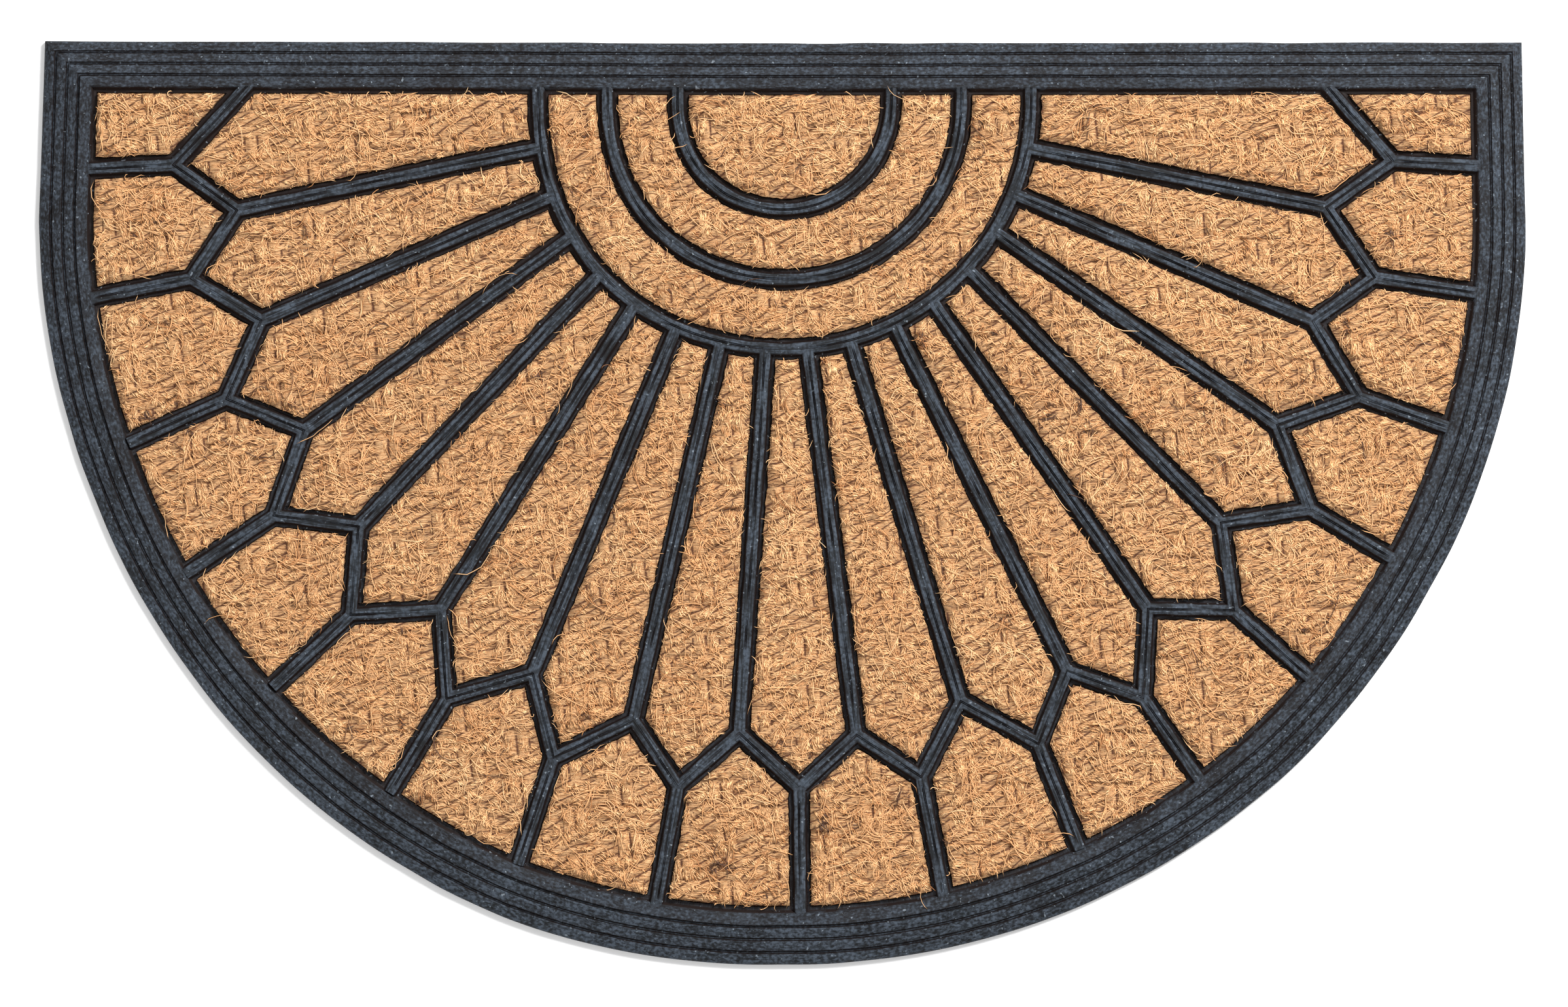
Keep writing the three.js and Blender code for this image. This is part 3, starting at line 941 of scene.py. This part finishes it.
def grow_fibres(seed, count, lock, lengths, spread, curl, points, lift, overhang, on_crowns):
    """Fibres in small locks, mostly along their yarn: their points, radii and tones."""
    chance = np.random.default_rng(seed)
    locks = count // lock
    x = chance.uniform(*FIBRES_ACROSS, TRIES * locks)
    y = chance.uniform(*FIBRES_ALONG, TRIES * locks)
    chosen = weave(x, y)[2] > chance.uniform(0, on_crowns, TRIES * locks)
    kept = chosen & (charted_clearance(x, y) > 0.3)
    x, y = x[kept][:locks], y[kept][:locks]
    locks = len(x)
    short = points == SHORT_POINTS
    warp_bearing = WARP_BEARING + 0.3 * lumps(x, y, 6, 49)
    weft_bearing = (PLY_FIBRE_BEARING if short else LOOSE_FIBRE_BEARING) + 0.6 * lumps(x, y, 8, 48)
    bearing = np.where(weave(x, y)[1], warp_bearing, weft_bearing) + chance.normal(0, spread, locks)
    bend = chance.normal(0, curl, locks)
    shade = LOCK_TONE * chance.normal(0, 1, locks)
    x, y, bearing, bend, shade = (np.repeat(each, lock) for each in (x, y, bearing, bend, shade))
    count = len(x)
    x = x + chance.normal(0, LOCK_SPREAD, count)
    y = y + chance.normal(0, LOCK_SPREAD, count)
    bearing = bearing + chance.normal(0, 0.1, count)
    reach = chance.uniform(*lengths, count)
    wave_seed = chance.integers(1 << 30)
    for _ in range(4):
        waves = np.random.default_rng(wave_seed)
        routes = route_fibres(waves, x, y, bearing, reach, bend, points)
        outside = (charted_clearance(*routes) < -overhang).any(axis=1)
        reach = np.where(outside, reach * 0.6, reach)
    share = np.linspace(-1, 1, points)
    rise = chance.uniform(0, lift, count)[:, None] * (1 - share**2) - 0.35 * share**4
    height = coir_top(*routes) + FIBRE_RADIUS[1] + rise
    over_rib = charted_clearance(*routes) < -1.5
    height = np.where(over_rib, np.maximum(height, BAR_TOP + 0.5), height)
    tone = TONE + shade - DARKER_TONE * chance.exponential(1, count)
    # Fibres near a crown are paler: painted light on the weave's tops.
    tone = tone + PATCH_TONE * lumps(x, y, 26, 51) + CROWN_PAINTED_LIGHT * weave(x, y)[2]
    smudge = np.clip(lumps(x, y, 7, 52) - 0.72, 0, 1) * 3
    radius = chance.uniform(*FIBRE_RADIUS, count) * (SHORT_THICKER if short else 1)
    spots = np.stack([*routes, height], axis=-1)
    return spots[~outside], radius[~outside], np.clip(tone - smudge, 0, 1)[~outside]


def fibre_faces(points):
    """The triangles of one closed three-sided fibre with a point at each tip."""
    faces = []
    rings = points - 2
    tip = 1 + FIBRE_SIDES * rings
    last = tip - FIBRE_SIDES
    for side in range(FIBRE_SIDES):
        after = (side + 1) % FIBRE_SIDES
        faces.append((0, 1 + side, 1 + after))
        for ring in range(rings - 1):
            here = 1 + FIBRE_SIDES * ring
            there = here + FIBRE_SIDES
            faces.append((here + side, there + side, there + after))
            faces.append((here + side, there + after, here + after))
        faces.append((last + side, tip, last + after))
    return np.array(faces)


def add_fibres(name, grown, material):
    """One piece of many fibres, each a thin closed three-sided tube."""
    spots, radius, tone = grown
    count, points, _ = spots.shape
    ahead = np.gradient(spots, axis=1)
    ahead /= np.linalg.norm(ahead, axis=-1, keepdims=True)
    sideways = np.cross(ahead, (0.0, 0.0, 1.0))
    sideways /= np.linalg.norm(sideways, axis=-1, keepdims=True)
    upwards = np.cross(sideways, ahead)
    turn = np.radians(90 + 360 * np.arange(FIBRE_SIDES) / FIBRE_SIDES)[:, None]
    spokes = np.cos(turn) * sideways[:, 1:-1, None] + np.sin(turn) * upwards[:, 1:-1, None]
    rings = (spots[:, 1:-1, None] + spokes * radius[:, None, None, None]).reshape(count, -1, 3)
    vertices = np.concatenate([spots[:, :1], rings, spots[:, -1:]], axis=1)
    each = vertices.shape[1]
    faces = (fibre_faces(points)[None] + each * np.arange(count)[:, None, None]).reshape(-1, 3)
    mesh = bpy.data.meshes.new(name)
    mesh.vertices.add(count * each)
    mesh.vertices.foreach_set("co", (vertices * MM).ravel().astype(np.float32))
    mesh.loops.add(faces.size)
    mesh.loops.foreach_set("vertex_index", faces.ravel().astype(np.int32))
    mesh.polygons.add(len(faces))
    mesh.polygons.foreach_set("loop_start", np.arange(0, faces.size, 3, dtype=np.int32))
    mesh.update(calc_edges=True)
    mesh.shade_smooth()
    mark(mesh, "tone", np.repeat(tone, each))
    piece = bpy.data.objects.new(name, mesh)
    bpy.context.scene.collection.objects.link(piece)
    mesh.materials.append(material)
    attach(piece, "root")
    return piece


# Materials


def linear(hex_colour):
    """An sRGB hex colour as linear red, green, blue and alpha."""
    parts = [int(hex_colour[i : i + 2], 16) / 255 for i in (1, 3, 5)]
    return (*(c / 12.92 if c <= 0.04045 else ((c + 0.055) / 1.055) ** 2.4 for c in parts), 1.0)


def connect(made, sockets):
    """Sets a node's inputs to values, or links them to an output or to a node's first output."""
    for name, value in sockets.items():
        if isinstance(value, bpy.types.Node):
            value = value.outputs[0]
        if isinstance(value, bpy.types.NodeSocket):
            made.id_data.links.new(value, made.inputs[name])
        else:
            made.inputs[name].default_value = value


def add(tree, kind, sockets=None, stops=(), **settings):
    """Adds a node with its settings and links. Stops fill a colour ramp."""
    made = tree.nodes.new("ShaderNode" + kind)
    for name, value in settings.items():
        setattr(made, name, value)
    connect(made, sockets or {})
    for i, (place, colour) in enumerate(stops):
        elements = made.color_ramp.elements
        stop = elements[i] if i < 2 else elements.new(place)
        stop.position = place
        stop.color = linear(colour)
    return made


def start_material(name):
    """A new node material with its tree and its shader."""
    material = bpy.data.materials.new(name)
    material.use_nodes = True
    tree = material.node_tree
    return material, tree, tree.nodes["Principled BSDF"]


def moulded_rubber():
    """Vulcanised recycled rubber, pressed in a mould: near-black, semi-matt, with a pale blue-grey bloom that
    also paints the sheen on tops, and a painted brown-black shade where the bloom is missing.
    """
    material, tree, shader = start_material("moulded_rubber")
    spot = add(tree, "TexCoord").outputs["Object"]
    bloom_and_painted_light = add(tree, "Attribute", attribute_name="bloom_and_painted_light").outputs["Fac"]
    grain = add(tree, "Attribute", attribute_name="grain").outputs["Vector"]
    streak_length = 0.018
    streak_width = 0.0011
    cloud_size = 0.014
    grit_size = 0.0017
    speck_size = 0.0019
    drawn_out = add(tree, "Mapping", {"Vector": grain, "Scale": (1 / streak_length, 1 / streak_width, 0)})
    streaks = add(tree, "TexNoise", {"Vector": drawn_out, "Scale": 1.0, "Detail": 3.0, "Roughness": 0.6})
    cloudy = {"Vector": spot, "Scale": 1 / cloud_size, "Detail": 5.0, "Roughness": 0.65}
    clouds = add(tree, "TexNoise", cloudy)
    grit = add(tree, "TexNoise", {"Vector": spot, "Scale": 1 / grit_size, "Detail": 3.0})
    faint = add(tree, "Math", {0: clouds, 1: 0.5}, operation="MULTIPLY")
    mixed = add(tree, "Math", {0: faint, 1: streaks}, operation="ADD")
    dusty = add(tree, "MapRange", {"Value": mixed, "From Min": 0.62, "From Max": 0.93})
    grit_range = {"Value": grit, "From Min": 0.37, "From Max": 0.63, "To Min": 0.35, "To Max": 1.6}
    gritty = add(tree, "MapRange", grit_range)
    dust = add(tree, "Math", {0: dusty, 1: gritty}, operation="MULTIPLY")
    amount = add(tree, "Math", {0: dust, 1: bloom_and_painted_light}, operation="MULTIPLY", use_clamp=True)
    # Where the mark is low, on flanks, ledges and in grooves, a brown-black: painted shade with the coir's
    # brown reflection. Where it is high, blue-black.
    body = add(tree, "Mix", {"Factor": bloom_and_painted_light, 6: linear("#160c0a"), 7: linear("#101215")}, data_type="RGBA")
    # The pale blue-grey follows the mark: bloom and dust, with painted sheen on the tops.
    dusted = {"Factor": amount, 6: body.outputs[2], 7: linear("#424a54")}
    clouded = add(tree, "Mix", dusted, data_type="RGBA")
    # Sparse pale blue-grey specks all over the rubber: painted glints.
    specks = add(tree, "TexNoise", {"Vector": spot, "Scale": 1 / speck_size, "Detail": 1.0})
    glints = add(tree, "MapRange", {"Value": specks, "From Min": 0.71, "From Max": 0.78, "To Max": 0.5})
    specked = {"Factor": glints, 6: clouded.outputs[2], 7: linear("#8f9aa4")}
    colour = add(tree, "Mix", specked, data_type="RGBA")
    rough = add(tree, "MapRange", {"Value": amount, "To Min": 0.68, "To Max": 0.85})
    bump = add(tree, "Bump", {"Height": grit, "Strength": 0.35, "Distance": 0.0003})
    connect(shader, {"Base Color": colour.outputs[2], "Roughness": rough, "Normal": bump})
    connect(shader, {"IOR": 1.52, "Specular IOR Level": 0.22})
    return material


def coir_yarn():
    """Spun coconut fibre under the loose surface: streaks of pale and brown fibre along each yarn, with
    painted shade in the dips, in the creases between plies and rows, and in the gaps between fibres.
    """
    material, tree, shader = start_material("coir_yarn")
    places = add(tree, "TexCoord")
    spot = places.outputs["Object"]
    curl_size = 0.006
    patch_size = 0.012
    fibre_size = (0.009, 0.0005)
    strand_size = (0.014, 0.0017)
    hollow_size = (0.0035, 0.0012)
    swirl = add(tree, "TexNoise", {"Vector": spot, "Scale": 1 / curl_size, "Detail": 1.0})
    swirled = {0: swirl.outputs["Color"], 1: (curl_size, curl_size, 0)}
    curl = add(tree, "VectorMath", swirled, operation="MULTIPLY")
    curled = add(tree, "VectorMath", {0: places.outputs["UV"], 1: curl}, operation="ADD")
    waves = []
    for seed, (length, width) in enumerate((fibre_size, strand_size, hollow_size)):
        place = {"Vector": curled, "Location": (seed, seed, seed), "Scale": (1 / length, 1 / width, 1)}
        noise = {"Vector": add(tree, "Mapping", place), "Scale": 1.0, "Detail": 2.0, "Roughness": 0.6}
        waves.append(add(tree, "TexNoise", noise))
    fibres, strands, hollows = waves
    streaked = add(tree, "Math", {0: fibres, 1: strands}, operation="ADD")
    halved = add(tree, "Math", {0: streaked, 1: 0.5}, operation="MULTIPLY")
    tint = add(tree, "ValToRGB", {"Fac": halved}, [(0.36, "#6b3c20"), (0.44, "#c38a57"), (0.56, "#e8b884")])
    patches = add(tree, "TexNoise", {"Vector": spot, "Scale": 1 / patch_size, "Detail": 3.0})
    raised = add(tree, "Attribute", attribute_name="raised").outputs["Fac"]
    # Painted shade: the yarn is darker in the dips, down to 0.68 at the bottom.
    dip_shade = add(tree, "MapRange", {"Value": raised, "From Max": 0.55, "To Min": 0.68})
    patch_range = {"Value": patches, "From Min": 0.3, "From Max": 0.7, "To Min": 0.85, "To Max": 1.1}
    patchy = add(tree, "MapRange", patch_range)
    shade = add(tree, "Math", {0: dip_shade, 1: patchy}, operation="MULTIPLY")
    yarn = add(tree, "Mix", {"Factor": 1.0, 6: tint, 7: shade}, data_type="RGBA", blend_type="MULTIPLY")
    plies = add(tree, "SeparateXYZ", {"Vector": add(tree, "UVMap", uv_map="ply")})
    row_softness = 0.2
    reaches = []
    for axis, size, softness in (("X", PLY_WIDTH, 0), ("Y", WEFT_PITCH, row_softness)):
        folded = add(tree, "Math", {0: plies.outputs[axis], 1: 0.5}, operation="PINGPONG")
        reaches.append(add(tree, "Math", {0: folded, 1: size, 2: softness}, operation="MULTIPLY_ADD"))
    from_crease = add(tree, "Math", {0: reaches[0], 1: reaches[1]}, operation="MINIMUM")
    # Painted shade: dark brown in the creases between plies and between weft rows, and in the gaps between
    # fibres.
    ragged = add(tree, "Math", {0: from_crease, 1: hollows}, operation="ADD")
    crease_shade = add(tree, "MapRange", {"Value": ragged, "From Min": 1.15, "From Max": 0.6})
    gap_shade = add(tree, "MapRange", {"Value": hollows, "From Min": 0.42, "From Max": 0.37})
    painted_shade = add(tree, "Math", {0: crease_shade, 1: gap_shade}, operation="MAXIMUM")
    colour = add(tree, "Mix", {"Factor": painted_shade, 6: yarn.outputs[2], 7: linear("#5a3018")}, data_type="RGBA")
    ply_range = {"Value": from_crease, "From Max": PLY_WIDTH / 2}
    round_ply = add(tree, "MapRange", ply_range, interpolation_type="SMOOTHSTEP")
    relief = add(tree, "Math", {0: streaked, 1: round_ply}, operation="ADD")
    bump = add(tree, "Bump", {"Height": relief, "Strength": 1.0, "Distance": 0.0008})
    connect(shader, {"Base Color": colour.outputs[2], "Normal": bump, "Roughness": 0.8})
    return material


def coir_fibre():
    """Single coconut fibres: each has its own tone from brown to straw, with a faint waxy sheen."""
    material, tree, shader = start_material("coir_fibre")
    tone = add(tree, "Attribute", attribute_name="tone").outputs["Fac"]
    stops = [(0.02, "#5d4030"), (0.98, "#f6d6a5"), (0.2, "#b07442"), (0.45, "#e4ad75"), (0.75, "#f0c38f")]
    connect(shader, {"Base Color": add(tree, "ValToRGB", {"Fac": tone}, stops), "Roughness": 0.55})
    return material


# Stage


def add_floor():
    """A plain pale floor just under the mat."""
    bpy.ops.mesh.primitive_plane_add(size=12, location=(0, 0, -0.0002))
    floor = bpy.context.object
    floor.name = "floor"
    material, _, shader = start_material("pale_floor")
    connect(shader, {"Base Color": (0.95, 0.95, 0.95, 1), "Roughness": 0.9})
    floor.data.materials.append(material)


def add_softbox(name, place, size, power):
    """A square lamp that faces the middle of the mat."""
    data = bpy.data.lights.new(name, "AREA")
    data.size = size
    data.energy = power
    lamp = bpy.data.objects.new(name, data)
    lamp.location = place
    lamp.rotation_euler = (-Vector(place)).to_track_quat("-Z", "Y").to_euler()
    bpy.context.scene.collection.objects.link(lamp)


def add_lights():
    """A softbox at the upper right, a weaker one opposite, and a pale surround."""
    add_softbox("key_softbox", (1.5, 1.7, 2.2), 0.9, 148)
    add_softbox("fill_softbox", (-1.6, -1.2, 2.4), 1.6, 27)
    world = bpy.data.worlds.new("studio")
    world.use_nodes = True
    connect(world.node_tree.nodes["Background"], {"Color": (1, 1, 1, 1), "Strength": 0.55})
    bpy.context.scene.world = world


def add_camera():
    """Straight above the mat, far off with a long lens, in the photo's frame."""
    frame_width_mm = 779.0
    sensor_mm = 36.0
    lens_mm = 150.0
    data = bpy.data.cameras.new("camera")
    data.sensor_width = sensor_mm
    data.lens = lens_mm
    distance = frame_width_mm * MM * lens_mm / sensor_mm
    camera = bpy.data.objects.new("camera", data)
    camera.location = (0.0008, -0.0003, distance + BAR_TOP * MM)
    bpy.context.scene.collection.objects.link(camera)
    bpy.context.scene.camera = camera


rubber_mat = make_rubber(moulded_rubber())
coir_sheet = make_coir(coir_yarn())
fibre_paint = coir_fibre()
fibre_pieces = [add_fibres(name, grow_fibres(*row), fibre_paint) for name, *row in FIBRES]
add_floor()
add_lights()
add_camera()
bpy.context.scene.view_settings.view_transform = "Standard"
